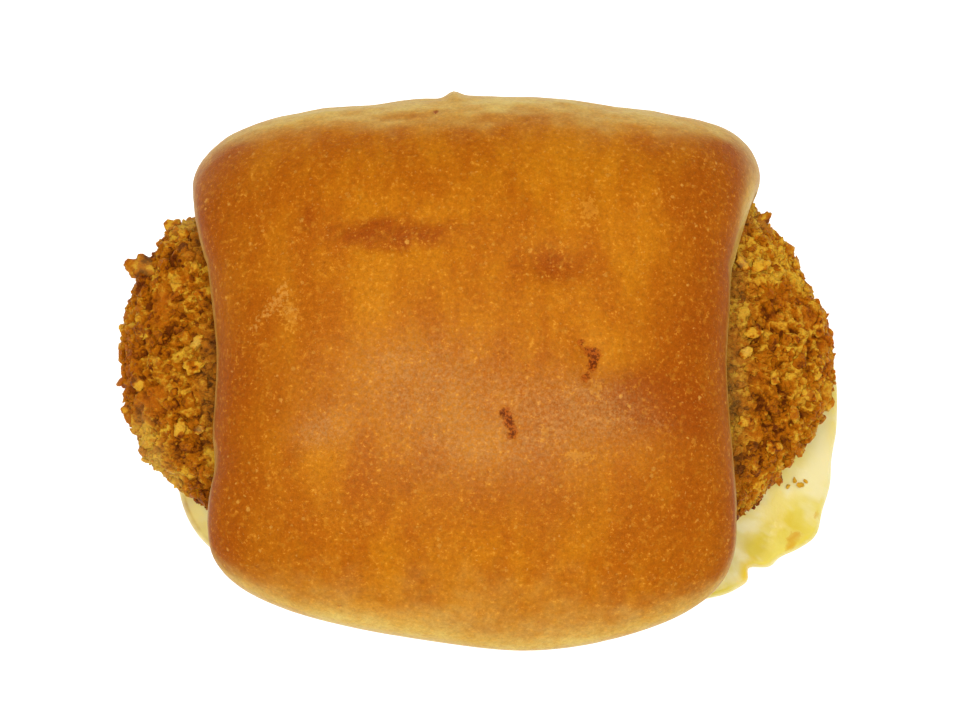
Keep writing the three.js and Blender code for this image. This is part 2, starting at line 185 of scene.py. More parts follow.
def lumps(x, y, z, size, phase):
    """Soft unevenness between about -1 and 1, with bumps about size mm across."""
    k = 2 * math.pi / size
    a = np.sin(k * (0.83 * x + 0.37 * y) + phase)
    b = np.sin(k * (0.61 * y - 0.52 * x + 0.4 * z) + 1.7 * phase + 1)
    c = np.sin(k * (0.45 * z + 0.71 * x - 0.33 * y) - 0.6 * phase + 2)
    return (a + b + c + a * b * c) / 3.2


def outline_bumps(bumps, angle):
    """Soft bumps of an outline at an angle, each with its middle, share of the size and half width."""
    away = [(np.degrees(angle) - middle + 180) % 360 - 180 for middle, _, _ in bumps]
    return sum(share * np.exp(-((a / half) ** 2)) for a, (_, share, half) in zip(away, bumps))


def spot(x, y, middle_x, middle_y, half_x, half_y, share=1, turn=0, power=2):
    """A soft oval spot: share at its middle, fading past its half lengths in mm."""
    c, s = math.cos(turn), math.sin(turn)
    u = ((x - middle_x) * c + (y - middle_y) * s) / half_x
    v = ((y - middle_y) * c - (x - middle_x) * s) / half_y
    return share * np.exp(-((u * u + v * v) ** (power / 2)))


def spots(x, y, rows):
    return sum(spot(x, y, *row) for row in rows)


# %% Sections of the roll
def lid_half_width(y):
    back = unit((y - LID.waist_y) / (FOLD.start - LID.waist_y)) ** 1.6
    front = smooth((LID.waist_y - y) / (LID.waist_y - LID.corner_y))
    return LID.waist + LID.back_flare * back + LID.front_flare * front


def base_half_width(y):
    return BASE.waist + BASE.back_flare * smooth((y + 10) / (FOLD.start + 10))


def corner_rounding(y, run):
    u = unit((run.corner_y - y) / (run.corner_y - run.tip))
    return (1 - u**3) ** (1 / 1.6)


def run_sections(run, count, inner_z, outer_z, half_width, exponent):
    """Sections of lid or base from its tip (left out) to the fold, close together at the tip."""
    length = FOLD.start - run.tip
    d = length * (1 - np.cos(np.linspace(0, math.pi / 2, count + 1)[1:]))
    y = run.tip + d
    rim_z = mix(inner_z, outer_z, RIM_SHARE) - run.rim_drop * (1 - d / length) ** 3
    rise_in = arch(1 - np.minimum(d / run.nose_inner, 1), 2)
    rise_out = arch(1 - np.minimum(d / run.nose_outer, 1), run.nose_exponent)
    return {
        "rim": np.stack([y, rim_z], 1),
        "inner": np.stack([y, rim_z - RIM_SHARE * (outer_z - inner_z) * rise_in], 1),
        "outer": np.stack([y, rim_z + (1 - RIM_SHARE) * (outer_z - inner_z) * rise_out], 1),
        "half": half_width(y) * corner_rounding(y, run), "exponent": np.full(count, float(exponent)),
        "bow": np.zeros(count), "lid": np.zeros(count), "shift": np.zeros(count),
    }


def lid_sections(count):
    section = run_sections(LID, count, LID_BOTTOM, LID_TOP, lid_half_width, EXPONENT.lid)
    to_tip = unit((LID.corner_y - section["rim"][:, 0]) / (LID.corner_y - LID.tip))
    section["lid"] = np.ones(count)
    section["shift"] = mix(LID.shift, LID.tip_shift, to_tip**3)
    return {name: values[::-1] for name, values in section.items()}


def fold_sections(count):
    turn = np.linspace(-math.pi / 2, math.pi / 2, count + 2)[1:-1]
    c, s = np.cos(turn), np.sin(turn)
    outside, inside = np.where(s < 0, 2.8, 2.4), np.where(s < 0, 1.9, 2.4)
    inner_half = (LID_BOTTOM - BASE_THICK) / 2
    outer = np.stack([FOLD.start + (FOLD.back - FOLD.start) * c ** (2 / outside),
                      LID_TOP / 2 * (1 + signed_power(s, 2 / outside))], 1)
    inner = np.stack([FOLD.start + (FOLD.inside - FOLD.start) * c ** (2 / inside),
                      BASE_THICK + inner_half * (1 + signed_power(s, 2 / inside))], 1)
    lid = smooth((s + 1) / 2)
    ends = np.where(s < 0, base_half_width(FOLD.start), lid_half_width(FOLD.start))
    ends_exponent = np.where(s < 0, EXPONENT.base, EXPONENT.lid)
    return {
        "inner": inner, "outer": outer, "rim": mix(inner, outer, RIM_SHARE),
        "half": mix(ends, FOLD.half_width, c**0.6),
        "exponent": mix(EXPONENT.fold, ends_exponent, s * s),
        "bow": FOLD.bow * c, "lid": lid,
        "shift": mix(FOLD.shift, LID.shift * lid, np.abs(s)),
    }


BASE_COUNT, FOLD_COUNT, LID_COUNT = 64, 104, 140  # sections, which make the rows of the grid
parts = [run_sections(BASE, BASE_COUNT, BASE_THICK, 0, base_half_width, EXPONENT.base),
         fold_sections(FOLD_COUNT), lid_sections(LID_COUNT)]
roll_path = {name: np.concatenate([part[name] for part in parts]) for name in parts[0]}
print("sections of the roll:", len(roll_path["half"]))

# %% Skin of the roll
DENTS = [  # middle, half lengths and depth
    (-11, 16, 9, 2.6, 0.35), (11.3, 11.5, 4.5, 2.8, 0.4), (-27, 5, 3, 6, 0.3), (16, -2, 2, 3.2, 0.5)]
LUMP = 0.45
LUMP_SIZE = 34
ROLL_SWELLS = [  # at how many degrees, share of the size, half width in degrees
    (41.5, 0.036, 7.5), (61, -0.014, 9), (23, -0.03, 8), (98, -0.007, 5), (112, -0.023, 9),
    (138, 0.014, 9), (-157.5, -0.022, 4), (-77, 0.016, 18)]
SWELLS_FROM, SWELLS_FULL = 22, 36  # how far from its middle the roll follows the swells


def roll_skin(across, side):
    """Points of the outer (side 1) or inner (side -1) skin, for every section and across."""
    column = {name: values[:, None] for name, values in roll_path.items() if values.ndim == 1}
    skin = roll_path["outer" if side > 0 else "inner"][:, None, :]
    rim = roll_path["rim"][:, None, :]
    height = arch(across[None, :], column["exponent"] if side > 0 else EXPONENT.inner)
    x = column["half"] * across[None, :] + column["shift"]
    y = mix(rim[..., 0], skin[..., 0], height) - column["bow"] * np.abs(across) ** FOLD.bow_exponent
    z = mix(rim[..., 1], skin[..., 1], height)
    z = z - LID.crown * column["lid"] * np.abs(x / FOLD.half_width) ** 2.5
    moved = 1 if side > 0 else 1 - height * smooth((y + 30) / 10)  # the inner skin keeps its form
    if side > 0:
        bump = LUMP * height * lumps(x, y, z, LUMP_SIZE, 0.4)
        outward = skin - rim
        outward = outward / np.maximum(1, np.linalg.norm(outward, axis=2, keepdims=True))
        y = y + bump * outward[..., 0]
        z = z + bump * outward[..., 1]
        z = z - (column["lid"] == 1) * spots(x, y, DENTS)
        z = np.maximum(0, z - BASE.flatten * (1 - column["lid"]))
    moved = moved * smooth((np.hypot(x, y) - SWELLS_FROM) / (SWELLS_FULL - SWELLS_FROM))
    swell = 1 + moved * outline_bumps(ROLL_SWELLS, np.arctan2(y, x))
    return np.stack([x * swell, y * swell, z], 2)


OUTER_COUNT, INNER_COUNT = 231, 81  # points of a section, on its outer and its inner skin
outer_across = np.sin(np.linspace(math.pi / 2, -math.pi / 2, OUTER_COUNT))
inner_across = np.sin(np.linspace(-math.pi / 2, math.pi / 2, INNER_COUNT))[1:-1]
roll_rings = np.concatenate([roll_skin(outer_across, 1), roll_skin(inner_across, -1)], 1)
roll_is_outer = np.arange(roll_rings.shape[1]) < len(outer_across)
print("roll grid:", roll_rings.shape)

# %% Helpers for fine meshes
def fractal(points, size, octaves=3, seed=0):
    """Fractal noise at each point, between about -1 and 1, with bumps about size mm across."""
    flat = points.reshape(-1, 3) / size + 17.3 * seed
    values = [noise.fractal(p, 1, 2, octaves) for p in flat.tolist()]
    return np.array(values).reshape(points.shape[:-1])


def skin_normals(rings):
    """Outward normals over rings of points."""
    along = np.gradient(rings, axis=0)
    around = np.roll(rings, -1, 1) - np.roll(rings, 1, 1)
    normals = np.cross(around, along)
    return normals / np.maximum(1e-9, np.linalg.norm(normals, axis=2, keepdims=True))


def skin_object(name, rings, **values):
    """A closed mesh over rings of points in mm, with its named values stored on its points."""
    rows, columns = rings.shape[:2]
    ends = rings[[0, -1]].mean(1)
    points = np.concatenate([ends[:1], rings.reshape(-1, 3), ends[1:]]) + OFFSET
    at = 1 + np.arange(rows * columns).reshape(rows, columns)
    after = np.roll(at, -1, 1)
    quads = np.stack([at[:-1], after[:-1], after[1:], at[1:]], 2).reshape(-1, 4).tolist()
    first = [(0, b, a) for a, b in zip(at[0].tolist(), after[0].tolist())]
    last = [(a, b, len(points) - 1) for a, b in zip(at[-1].tolist(), after[-1].tolist())]
    mesh = bpy.data.meshes.new(name)
    mesh.from_pydata((points * MM).tolist(), [], quads + first + last)
    mesh.shade_smooth()
    for key, value in values.items():
        value = np.broadcast_to(value, rings.shape[:2])
        whole = np.concatenate([[value[0].mean()], value.ravel(), [value[-1].mean()]])
        mesh.attributes.new(key, "FLOAT", "POINT").data.foreach_set("value", whole.astype(np.float32))
    print(name, "has", len(quads) * 2 + len(first) + len(last), "triangles")
    return new_object(name, mesh)

# %% [markdown]
# ## Crust: relief and where it is pale or dark
# Dough browns where heat reaches it from above, so the crust is brown where it faces up,
# and fades to cream over the fold and under the front lip. The direction in which the
# skin faces gives that fade without any painting. The dents, blisters and the scuffed
# patch sit at measured places, each as a soft oval spot. All of these are stored on the
# mesh as named values, which the material reads later.

# %% Marks on the crust
# each with its middle x and y, half lengths, strength (1 where left out) and turn
BLISTERS = [(3.9, -10.1, 1, 0.8, 1, 0.4), (4.7, -11.4, 0.85, 1.7, 1, 0.25), (5.1, -13, 0.8, 0.9),
            (14.9, 0.1, 0.6, 1.1, 0.8, 0.5), (16.5, -1.2, 1.4, 0.9, 1, -0.4),
            (16.6, -2.7, 0.95, 1.8, 1, -0.3), (-6, 35.8, 0.5, 0.4), (15.7, -4.6, 0.75, 1.1, 0.85, -0.4),
            (7.4, -3.5, 0.6, 1, 0.7)]
LIGHT_LUMPS = [(16.9, -6.5, 1.1, 1), (10, -12.9, 0.9, 0.9), (16.3, 19.6, 1.3, 1.8), (-26.7, 4.6, 1.2, 2),
               (14.4, -16.2, 2, 0.8), (31.1, -13.5, 0.4, 0.45), (-31.6, -16.4, 0.4, 0.4),
               (-36, 12.5, 0.35, 0.45), (-15.9, -25.4, 0.7, 0.8)]
LEFT_DENT = (-11.8, 15.9, 9.8, 2.5)
DEEP = [(10.6, 11.5, 4.4, 2.4, 0.85), (11.5, 9.4, 3.2, 1.3, 0.35), (24.5, -7.5, 6.5, 4.2, 0.95, -0.35),
        (-24.2, 18.8, 1, 1.8, 0.8), (-2, -22, 34, 8, 0.4), (19, -9, 9, 5, 0.7),
        (-23, -11.5, 2.6, 2.2, 0.35), (33, 8, 6, 20, 0.3)]
SCUFFS = [(-30.8, 4.4, 4.6, 0.8, 1, 0.9), (-28.2, 7.2, 2.4, 0.9, 1, 1.2), (-26.8, 5, 1, 2, 1, 0.1)]
# Painted glints: small pale spots painted into the crust's colour inside the lamp's highlight.
PAINTED_GLINTS = [(-0.2, -15.4, 3.4, 1.8, 1, 0.1), (11.9, -12.8, 1.6, 1.8, 1, 0.5), (16.9, -10.8, 3.2, 1.2, 1, -0.2),
       (26.1, -11.2, 2, 1.2, 1, -0.2), (-23.1, -13.2, 2.8, 1.6, 1, 0.2), (-13.1, -2.6, 3.2, 2.2, 1, 0.6),
       (-6, -14.2, 2.4, 1.2, 1, 0.1), (7, -8, 9, 4, 1, -0.2)]
# Painted glare: a tan patch painted into the crust's colour where the lamp's highlight lies, broken up by
# fine grain.
PAINTED_GLARE = [(-8, -5, 12, 6.5), (17, -9, 7.5, 4.2, 1, -0.3), (3, -14, 15, 6), (-22, -12, 4, 2.5, 1, 0.2)]
BACK_NUB = (-3.4, 40.5, 1.3, 1.6)  # a little nub on the back edge
NUB_RISE = 0.9
WRINKLED = (2, -8, 26, 12)  # where the lid is finely wrinkled
RIGHT_LIP = (41, 22, 3, 9)
print("blisters:", len(BLISTERS), "light lumps:", len(LIGHT_LUMPS), "deep patches:", len(DEEP))

# %% Relief of the roll
x, y, z = np.moveaxis(roll_rings, 2, 0)
facing = skin_normals(roll_rings)
coarse = fractal(roll_rings, 9, 3, seed=1)
fine = fractal(roll_rings, 2.2, 3, seed=2)
across_fold = fractal(roll_rings * (0.35, 1, 1), 2.6, 2, seed=3)
on_lid = roll_is_outer[None, :] * (z > 30)
blister = np.max([spot(x, y, *row, power=3) for row in BLISTERS], axis=0) * on_lid
light_lump = spots(x, y, LIGHT_LUMPS) * on_lid

upper_fold = smooth((y - 30) / 8) * smooth((z - 22) / 12)
relief = 0.10 * coarse + 0.035 * fine + 0.16 * upper_fold * across_fold
relief += NUB_RISE * spot(x, y, *BACK_NUB) * (z > 25)
relief += (0.16 * light_lump - 0.12 * blister) * (1 + 0.8 * fine)
relief += 0.03 * fine * spot(x, y, *WRINKLED) * on_lid
relief *= np.where(roll_is_outer, 1, 0.4)[None, :]
relief *= smooth(z / 2)  # the underside stays flat on the table
roll_rings = roll_rings + relief[..., None] * facing
facing = skin_normals(roll_rings)
print("relief of the crust, mm:", relief.min().round(2), "to", relief.max().round(2))

# %% Where the crust is pale or dark
level = np.linalg.norm(facing[..., :2], axis=2) + 1e-6
front = unit(-facing[..., 1] / level) ** 2
back = unit(facing[..., 1] / level) ** 2
side = (facing[..., 0] / level) ** 2
brown_down_to = 0.64 * front + 0.68 * back + 0.34 * side + 0.08 * coarse + 0.05 * fine
fade = 0.66 * front + 0.40 * back + 0.22 * side
pale = smooth((brown_down_to - facing[..., 2]) / fade + 0.5)
sole = smooth((-facing[..., 2] - 0.55) / 0.35) * (z < 8)
right_lip = spot(x, y, *RIGHT_LIP) * smooth((0.75 - facing[..., 2]) / 0.4)
pale = np.maximum(pale, right_lip * on_lid) * (1 - sole) * (1 - 0.6 * side * on_lid * (1 - right_lip))

width = np.concatenate([part["half"] for part in parts])[:, None]
toward_side = np.abs(x) / np.maximum(width, 20)
deep = 0.55 * smooth((toward_side - 0.5) / 0.5) + 0.25 * coarse + spots(x, y, DEEP)
deep += spot(x, y, *LEFT_DENT, power=4) * (1 + 0.9 * fine)
inward = np.concatenate([0 * outer_across, smooth((1 - np.abs(inner_across)) / 0.06)])
roll = skin_object(
    "roll_crust", roll_rings, pale=pale, sole=sole, deep=unit(deep) * on_lid, blister=blister,
    light_lump=light_lump, scuff=0.55 * unit(spots(x, y, SCUFFS)) * on_lid,
    dry=0.5 * unit(spots(x, y, PAINTED_GLINTS)) * on_lid, film=unit(spots(x, y, PAINTED_GLARE)) * on_lid,
    inside=inward[None, :])

# %% [markdown]
# ## Finishes
# Baked crust, fried crumb and egg all have a fine grain, and the crust has fine dots of two
# sizes, so dots and grain are shared node groups, with their own numbers at each place.
# They read Object coordinates, in metres, so 1000 means one dot per millimetre.

# %% Colours as they look on screen
ROOM_GAIN = 1.57  # how much brighter than its own colour a matte surface looks in this room


def colour(red, green, blue):
    """The paint that looks like this screen colour, 0 to 255, under the light of the room."""
    def linear(v):
        v /= 255
        return (v / 12.92 if v <= 0.04045 else ((v + 0.055) / 1.055) ** 2.4) / ROOM_GAIN

    return (linear(red), linear(green), linear(blue), 1)


def tree_of(*values):
    """The node tree of the first socket among some values."""
    return next(value.id_data for value in values if isinstance(value, bpy.types.NodeSocket))


def mix_colour(factor, a, b, blend="MIX"):
    """The colour of a Mix node; factor, a and b are values or sockets."""
    inputs = {0: factor, 6: a, 7: b}
    made = add_node(tree_of(factor, a, b), "ShaderNodeMix", inputs, data_type="RGBA", blend_type=blend)
    return made.outputs[2]


def maths(operation, a, b, clamp=False):
    made = add_node(tree_of(a, b), "ShaderNodeMath", {0: a, 1: b}, operation=operation, use_clamp=clamp)
    return made.outputs[0]


def times(a, b):
    return maths("MULTIPLY", a, b)


def painted(base, layers):
    """The base colour under layers of mask, strength and screen colour, from the lowest up."""
    for mask, strength, paint in layers:
        base = mix_colour(times(mask, strength), base, colour(*paint))
    return base


def stored(tree, name):
    """A value stored on the mesh."""
    return add_node(tree, "ShaderNodeAttribute", attribute_name=name).outputs["Fac"]


def ramp(value, start, end):
    """0 below start and 1 above end, with a soft step between."""
    inputs = {"Value": value, "From Min": start, "From Max": end}
    made = add_node(value.id_data, "ShaderNodeMapRange", inputs, interpolation_type="SMOOTHSTEP")
    return made.outputs["Result"]


def object_place(tree):
    return add_node(tree, "ShaderNodeTexCoord").outputs["Object"]


def noise_at(place, grains, detail=2, roughness=0.5):
    """Noise between 0 and 1, with so many grains per metre."""
    inputs = {"Vector": place, "Scale": grains, "Detail": detail, "Roughness": roughness}
    return add_node(place.id_data, "ShaderNodeTexNoise", inputs).outputs["Fac"]


# %% Shared group: dots
def group_with(name, inputs, output):
    """A new shader group, the sockets of its float inputs {name: default}, and those of its output."""
    tree = bpy.data.node_groups.new(name, "ShaderNodeTree")
    for key, value in inputs.items():
        socket = tree.interface.new_socket(key, in_out="INPUT", socket_type="NodeSocketFloat")
        socket.default_value = value
    tree.interface.new_socket(output, in_out="OUTPUT", socket_type="NodeSocketFloat")
    return tree, tree.nodes.new("NodeGroupInput").outputs, tree.nodes.new("NodeGroupOutput").inputs


TEAR_GRAINS, TEAR = 3000, 0.6 * MM  # how finely, and how far, the outline of a dot is torn
GATHER_GRAINS = 230  # the dots grow and shrink together over patches of this size
dots_group, given, result = group_with(
    "fine_dots", {"Dots per metre": 700, "Dot radius": 0.16, "Share": 0.5}, "Mask")
place = object_place(dots_group)
torn = add_node(dots_group, "ShaderNodeTexNoise", {"Vector": place, "Scale": TEAR_GRAINS}).outputs["Color"]
torn = add_node(dots_group, "ShaderNodeVectorMath", {0: torn, "Scale": TEAR}, operation="SCALE")
torn = add_node(dots_group, "ShaderNodeVectorMath", {0: place, 1: torn}, operation="ADD")
cells = add_node(dots_group, "ShaderNodeTexVoronoi", {
    "Vector": torn, "Scale": given["Dots per metre"]})
chance = add_node(dots_group, "ShaderNodeSeparateColor", {"Color": cells.outputs["Color"]})
gather = times(noise_at(place, GATHER_GRAINS), 2)
size = times(given["Dot radius"], gather)
near = maths("SUBTRACT", size, cells.outputs["Distance"])
dot = maths("MULTIPLY", near, 12, clamp=True)
chosen = maths("LESS_THAN", chance.outputs[0], given["Share"])
dots_group.links.new(times(dot, chosen), result["Mask"])
print("group made:", dots_group.name)

# %% Shared group: grain
grain_group, given, result = group_with(
    "fine_grain", {"Grains per metre": 1500, "Roughness": 0.6, "Contrast": 1}, "Grain")
soft = noise_at(object_place(grain_group), given["Grains per metre"], 3, given["Roughness"])
centred = maths("SUBTRACT", soft, 0.5)
spread = times(centred, given["Contrast"])
grain_group.links.new(maths("ADD", spread, 0.5), result["Grain"])
print("group made:", grain_group.name)


def use_group(tree, group, inputs):
    return add_node(tree, "ShaderNodeGroup", inputs, node_tree=group).outputs


def new_finish(name, inputs):
    """A material, its node tree and its Principled shader, with constant inputs set."""
    material = bpy.data.materials.new(name)
    material.use_nodes = True
    shader = material.node_tree.nodes["Principled BSDF"]
    set_inputs(shader, inputs)
    print("finish made:", name)
    return material, material.node_tree, shader


def set_surface(shader, base_colour, height, strength, distance):
    """Gives the shader its colour, and a bump as high as distance, in metres."""
    bump = {"Height": height, "Strength": strength, "Distance": distance}
    bump = add_node(shader.id_data, "ShaderNodeBump", bump)
    set_inputs(shader, {"Base Color": base_colour, "Normal": bump})


# %% Marks with a broken edge
def ragged(value, grains, amount):
    """A soft stored value as a mark whose edge is broken up by noise."""
    uneven = maths("SUBTRACT", noise_at(object_place(value.id_data), grains, 3, 0.7), 0.5)
    return ramp(maths("ADD", value, times(uneven, amount)), 0.38, 0.62)


# %% Baked crust: browning
crust, tree, shader = new_finish("baked_crust", {
    "Roughness": 0.45, "Specular IOR Level": 0.04, "Specular Tint": (1, 0.85, 0.6, 1),
    "Subsurface Weight": 0.06, "Subsurface Radius": (1, 0.45, 0.1), "Subsurface Scale": 1.2 * MM})
place = object_place(tree)


def stretched(along):
    """Object coordinates that stretch a pattern from front to back."""
    return add_node(tree, "ShaderNodeMapping", {"Vector": place, "Scale": (1, along, 1)}).outputs[0]


deep, pale, blister = (stored(tree, name) for name in ("deep", "pale", "blister"))
patches = ramp(noise_at(stretched(0.45), 130, 4, 0.62), 0.34, 0.68)
streaks = ramp(noise_at(stretched(0.12), 420), 0.5, 0.75)
baked = mix_colour(patches, colour(183, 97, 8), colour(203, 122, 14))
baked = painted(baked, [(streaks, 0.25, (178, 88, 2)), (deep, 1, (163, 76, 6))])
mottled = ramp(noise_at(place, 170, 5, 0.7), 0.25, 0.75)
cream = mix_colour(mottled, colour(228, 172, 62), colour(245, 211, 110))
baked = mix_colour(pale, baked, cream)

# %% Baked crust: flecks and marks
flecks = use_group(tree, dots_group, {"Dots per metre": 1400, "Dot radius": 0.2, "Share": 0.45})["Mask"]
dots = use_group(tree, dots_group, {"Dots per metre": 620, "Dot radius": 0.18, "Share": 0.5})["Mask"]
freckles = ramp(noise_at(place, 1000, 2, 0.6), 0.54, 0.7)
painted_glare_grain = ramp(noise_at(place, 1900, 3, 0.8), 0.42, 0.6)
light_lump = stored(tree, "light_lump")
baked = painted(baked, [
    (flecks, 0.25, (232, 160, 60)),
    (freckles, 0.26, (226, 150, 40)),
    (dots, maths("ADD", times(deep, 0.4), 0.22), (238, 172, 70)),
    # painted glare over the middle of the lid
    (stored(tree, "film"), maths("ADD", times(painted_glare_grain, 0.5), 0.2), (196, 134, 70)),
    (ragged(stored(tree, "scuff"), 1700, 2.6), 0.45, (230, 162, 70)),
    (ragged(light_lump, 1500, 3.4), maths("SUBTRACT", 0.36, times(light_lump, 0.2)), (228, 162, 56)),
    # painted glints
    (ragged(stored(tree, "dry"), 1700, 2.6), 0.32, (214, 146, 74)),
    (blister, 0.6, (194, 108, 26)),
])
burnt = ragged(blister, 900, 2.4)
core = ragged(maths("SUBTRACT", blister, 0.25), 2300, 4)
char = mix_colour(core, colour(176, 82, 14), colour(104, 34, 0))
charred = times(burnt, maths("ADD", times(blister, 0.6), 0.35))
baked = painted(mix_colour(charred, baked, char), [(stored(tree, "sole"), 1, (176, 108, 36))])

# %% Baked crust: grain and open crumb
BLACK, WHITE = (0, 0, 0, 1), (1, 1, 1, 1)
grain = use_group(tree, grain_group, {"Grains per metre": 1500, "Roughness": 0.85, "Contrast": 2.4})["Grain"]
grained = mix_colour(0.22, baked, mix_colour(grain, BLACK, WHITE), "OVERLAY")
pores = ramp(noise_at(place, 900, 4, 0.7), 0.35, 0.6)
open_crumb = mix_colour(pores, colour(222, 172, 88), colour(243, 208, 134))
height = maths("ADD", times(grain, 0.6), times(dots, 0.4))
height = maths("SUBTRACT", height, times(burnt, 0.8))
whole = mix_colour(stored(tree, "inside"), grained, open_crumb)
set_surface(shader, whole, height, 0.6, 0.12 * MM)
roll.data.materials.append(crust)
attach(roll, "root")
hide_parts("roll")

# %% [markdown]
# ## The croquette
# Under its coating, a croquette is a smooth cushion of mash. Its plan is between an ellipse
# and a rounded rectangle, and so is its section. The coating is coarse breadcrumb: dried
# bread torn into flat, angular flakes, which fry to mixed golds. The body is made by rule,
# with rough relief where it shows, and it carries named values that say where the coating
# is golden, where it is smooth and orange, and where it needs crumbs.

# %% Form of the croquette
CROQUETTE = SimpleNamespace(
    half_length=53.6, half_depth=31.6, middle_y=2.3, plan=2.25, rim=3.2, face=2.2, bottom=17.4, top=37)
SWELLS = [(146, 0.018, 8), (167, -0.006, 4), (-155, 0.014, 4.5), (43, 0.03, 4), (19, -0.026, 10),
          (-27, -0.018, 8), (-50, 0.017, 7.5)]
HIDDEN_HALF_LENGTH = 33.5  # the roll covers the croquette this far from its middle
MOUTH_Y = -23  # in front of this line it shows in the mouth of the roll


def croquette_skin(angle, rise):
    plan = 2 / CROQUETTE.plan
    radius = (1 + outline_bumps(SWELLS, angle)) * np.abs(np.cos(rise)) ** (2 / CROQUETTE.rim)
    x = CROQUETTE.half_length * radius * signed_power(np.cos(angle), plan)
    y = CROQUETTE.middle_y + CROQUETTE.half_depth * radius * signed_power(np.sin(angle), plan)
    half_height = (CROQUETTE.top - CROQUETTE.bottom) / 2
    z = CROQUETTE.bottom + half_height * (1 + signed_power(np.sin(rise), 2 / CROQUETTE.face))
    return np.stack(np.broadcast_arrays(x, y, z), -1)


# %% Body of the croquette
BODY_ROWS, BODY_COLUMNS = 174, 521
even = np.linspace(0, 2 * math.pi, BODY_COLUMNS)[:-1]
angles = even - 0.3 * np.sin(2 * even)
SHOWN_RISE = math.radians(64)  # past this rise, up or down, the croquette is hidden in the roll
rises = np.interp(np.linspace(0, 1, BODY_ROWS), [0, 0.07, 0.93, 1],
                  [-math.pi / 2, -SHOWN_RISE, SHOWN_RISE, math.pi / 2])[1:-1]
body_rings = croquette_skin(angles[None, :], rises[:, None])
x, y = np.moveaxis(body_rings, 2, 0)[:2]
shows = np.maximum(smooth((np.abs(x) - HIDDEN_HALF_LENGTH) / 3), smooth((MOUTH_Y - y) / 3))

# %% Where its coating is golden, dark, orange or pale, and where the roll's shade is painted
# each spot in the same order as the marks on the crust
GOLDEN = [(-44.8, 21.7, 3, 3), (-43.3, 8.9, 2.6, 2, 0.7), (-41.2, 1.6, 2.2, 2, 0.8),
          (-43.7, -9.6, 2, 1.6, 0.8), (-48.5, -13.1, 2, 3.4, 1.2), (41.5, 15, 3, 2, 0.9),
          (47.5, 15, 4, 5, 0.6), (50, -3, 3, 4, 0.5), (44, -2, 3, 3, 0.4)]
# Darker patches, partly painted shade: along the roll's edges, at x near 39 either side, and down in deep
# crevices of the coating.
DARK = [(-44, 16.2, 2.4, 1.6, 0.9), (-46.6, 9, 1.8, 3, 0.7), (-40.6, -16.9, 2, 2, 0.9),
        (40.8, -14.6, 3.4, 2.6, 1.3), (44.6, -9.3, 3, 1.8), (38.9, -6, 2.6, 6, 0.6),
        (46.9, -6.6, 1.8, 1.2, 0.8), (-39.5, 1, 2, 7, 0.5), (47, 5, 1.5, 1.5, 0.5)]
ORANGE = [(-47, 9, 2.2, 3.2, 0.8), (50.5, 7.4, 2.6, 1.6), (-52.4, 0, 2, 5, 0.8), (46, 10.6, 2.4, 1.2, 0.9),
          (41.5, -2, 1.6, 1.4, 0.7), (-49.5, -6, 1.6, 3, 0.6), (53.5, 1, 1.5, 3, 0.6)]
# Painted shade: a greyish olive painted along the roll's edges, where the roll shades the croquette.
PAINTED_ROLL_SHADE = [(37.4, -4, 2.6, 11), (38.6, 13, 2, 6, 0.7), (-39.5, -3, 2, 9, 0.5), (-42, 18, 2, 2, 0.4)]
FRINGE = [(-44.5, 23, 3.4, 2, 0.9), (-50.2, -9.2, 1.6, 3, 0.6), (-48.3, -14, 2, 2.6, 0.9),
          (-46, -16.8, 2, 1.6, 0.7), (44, 22.8, 4, 1.6, 0.4)]
olive = unit(spots(x, y, PAINTED_ROLL_SHADE))
fringe = unit(spots(x, y, FRINGE))
orange_patches = smooth((fractal(body_rings, 6, 2, seed=8) - 0.25) / 0.4)
orange = unit(spots(x, y, ORANGE) + 0.8 * orange_patches)
golden = np.where(x > 0, 0.40, 0.30) + 0.5 * spots(x, y, GOLDEN) - 0.5 * spots(x, y, DARK)
golden = unit(golden + 0.4 * fringe + 0.5 * fractal(body_rings, 6, 2, seed=7))
print("golden on average:", golden.mean().round(2))


# %% Crags of its coating
def crags(points, size, seed):
    """Sharp-edged crags between about -1 and 1: fractal noise folded over."""
    return 1 - 3 * np.abs(fractal(points, size, 3, seed))


rough = crags(body_rings, 5, seed=5)
jagged = crags(body_rings, 2.3, seed=6)
relief = 0.35 * rough + (0.7 - 0.45 * orange) * jagged - 0.55
body_rings = body_rings + (shows * relief)[..., None] * skin_normals(body_rings)
body_up = skin_normals(body_rings)[..., 2]
crumbed = shows * (0.35 + 0.65 * smooth((body_up + 0.9) / 0.7)) * (1 - 0.85 * orange)
# Tone and lift rise with the crags, so the finish paints shade down in the valleys of the body.
croquette_body = skin_object(
    "croquette_body", body_rings, crumbed=crumbed, golden=golden, orange=orange, olive=olive,
    whitish=0.6 * fringe, tone=0.4 + 0.5 * jagged,
    lift=unit(0.3 + 0.4 * jagged + 0.2 * rough) * MM)

# %% [markdown]
# ## Torn crumbs
# Dried bread tears into curled flakes and knobbly lumps. A flake is built from three rings
# of points and two poles, and a lump is a ball pushed in and out by noise. A shape that is
# laid hundreds of times has to be light, so none has more than 80 faces, and the finish
# adds the finer grain.

